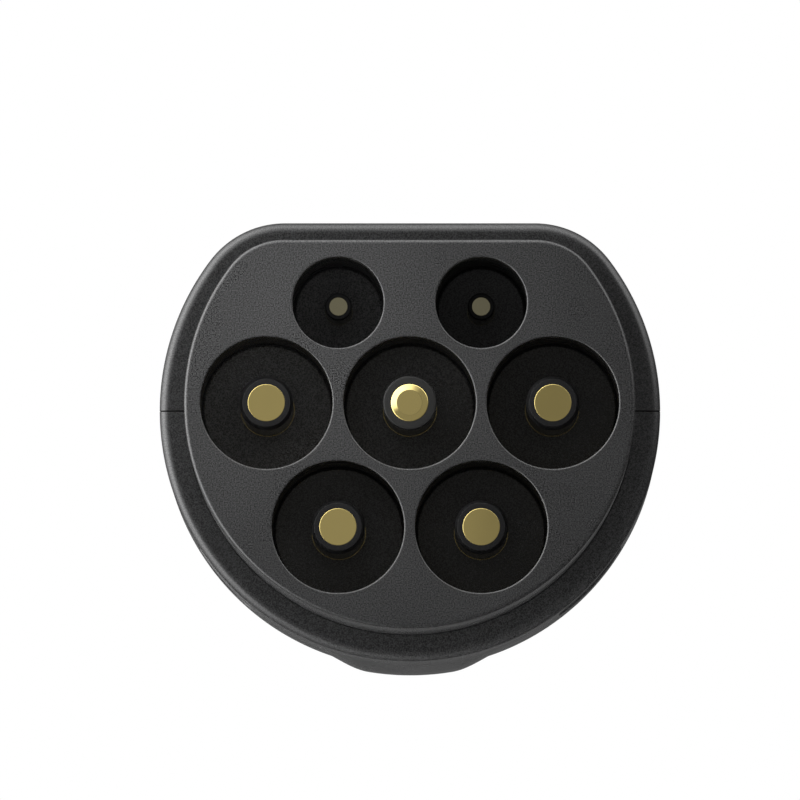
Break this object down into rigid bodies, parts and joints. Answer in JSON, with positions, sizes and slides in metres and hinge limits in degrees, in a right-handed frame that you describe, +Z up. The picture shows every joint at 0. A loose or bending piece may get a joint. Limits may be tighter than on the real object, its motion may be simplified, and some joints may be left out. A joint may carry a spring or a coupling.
{
  "type": "electric vehicle charging adapter",
  "caption": "Compact charging adapter: a D-shaped block with recessed round contact pins on one side, a clamshell case, and a rounded plug with contact sleeves on the other.",
  "frame": {"origin": "centre of the vehicle-side plug's root, in the plane of the case's back face, on the axis of the earth pin", "axes": "+Y along the plug's axis from the pin side to the vehicle, +Z up towards the flat side of the case, +X to the right of someone facing the pins"},
  "size_m": [0.0564, 0.12, 0.0504],
  "materials": {
    "case_plastic": "fine spark-eroded grain",
    "block_plastic": "fine grain, smoother inside the wells",
    "nose_plastic": "satin",
    "guard_plastic": "satin",
    "gold_plate": "plated, satin turned faces",
    "rubber": "matt",
    "clamp_plastic": "glass-filled, matt",
    "steel": "zinc plated",
    "copper": "bare drawn copper",
    "lead_cover": "plain insulation",
    "board": "green solder resist",
    "resistor": "moulded body"
  },
  "bodies": {
    "root": {"upper_housing": "case_plastic", "lower_housing": "case_plastic", "housing_screws": "steel", "inlet_block": "block_plastic", "inlet_gasket": "rubber", "pin_earth": "gold_plate", "guard_earth": "guard_plastic", "seal_earth": "rubber", "pin_line_1": "gold_plate", "guard_line_1": "guard_plastic", "seal_line_1": "rubber", "pin_neutral": "gold_plate", "guard_neutral": "guard_plastic", "seal_neutral": "rubber", "pin_line_2": "gold_plate", "guard_line_2": "guard_plastic", "seal_line_2": "rubber", "pin_line_3": "gold_plate", "guard_line_3": "guard_plastic", "seal_line_3": "rubber", "pin_pilot": "gold_plate", "guard_pilot": "guard_plastic", "seal_pilot": "rubber", "pin_proximity": "gold_plate", "guard_proximity": "guard_plastic", "seal_proximity": "rubber", "pin_clamp_plate": "clamp_plastic", "clamp_screws": "steel", "nose_body": "nose_plastic", "nose_gasket": "rubber", "socket_line": "gold_plate", "socket_neutral": "gold_plate", "socket_earth": "gold_plate", "socket_pilot": "gold_plate", "socket_proximity": "gold_plate", "spring_line": "steel", "spring_neutral": "steel", "socket_clamp_plate": "clamp_plastic", "socket_screws": "steel", "conductor_line": "copper", "conductor_neutral": "copper", "conductor_earth": "copper", "lead_pilot": "lead_cover", "lead_proximity": "lead_cover", "coding_board": "board", "coding_resistors": "resistor"}
  },
  "joints": []
}
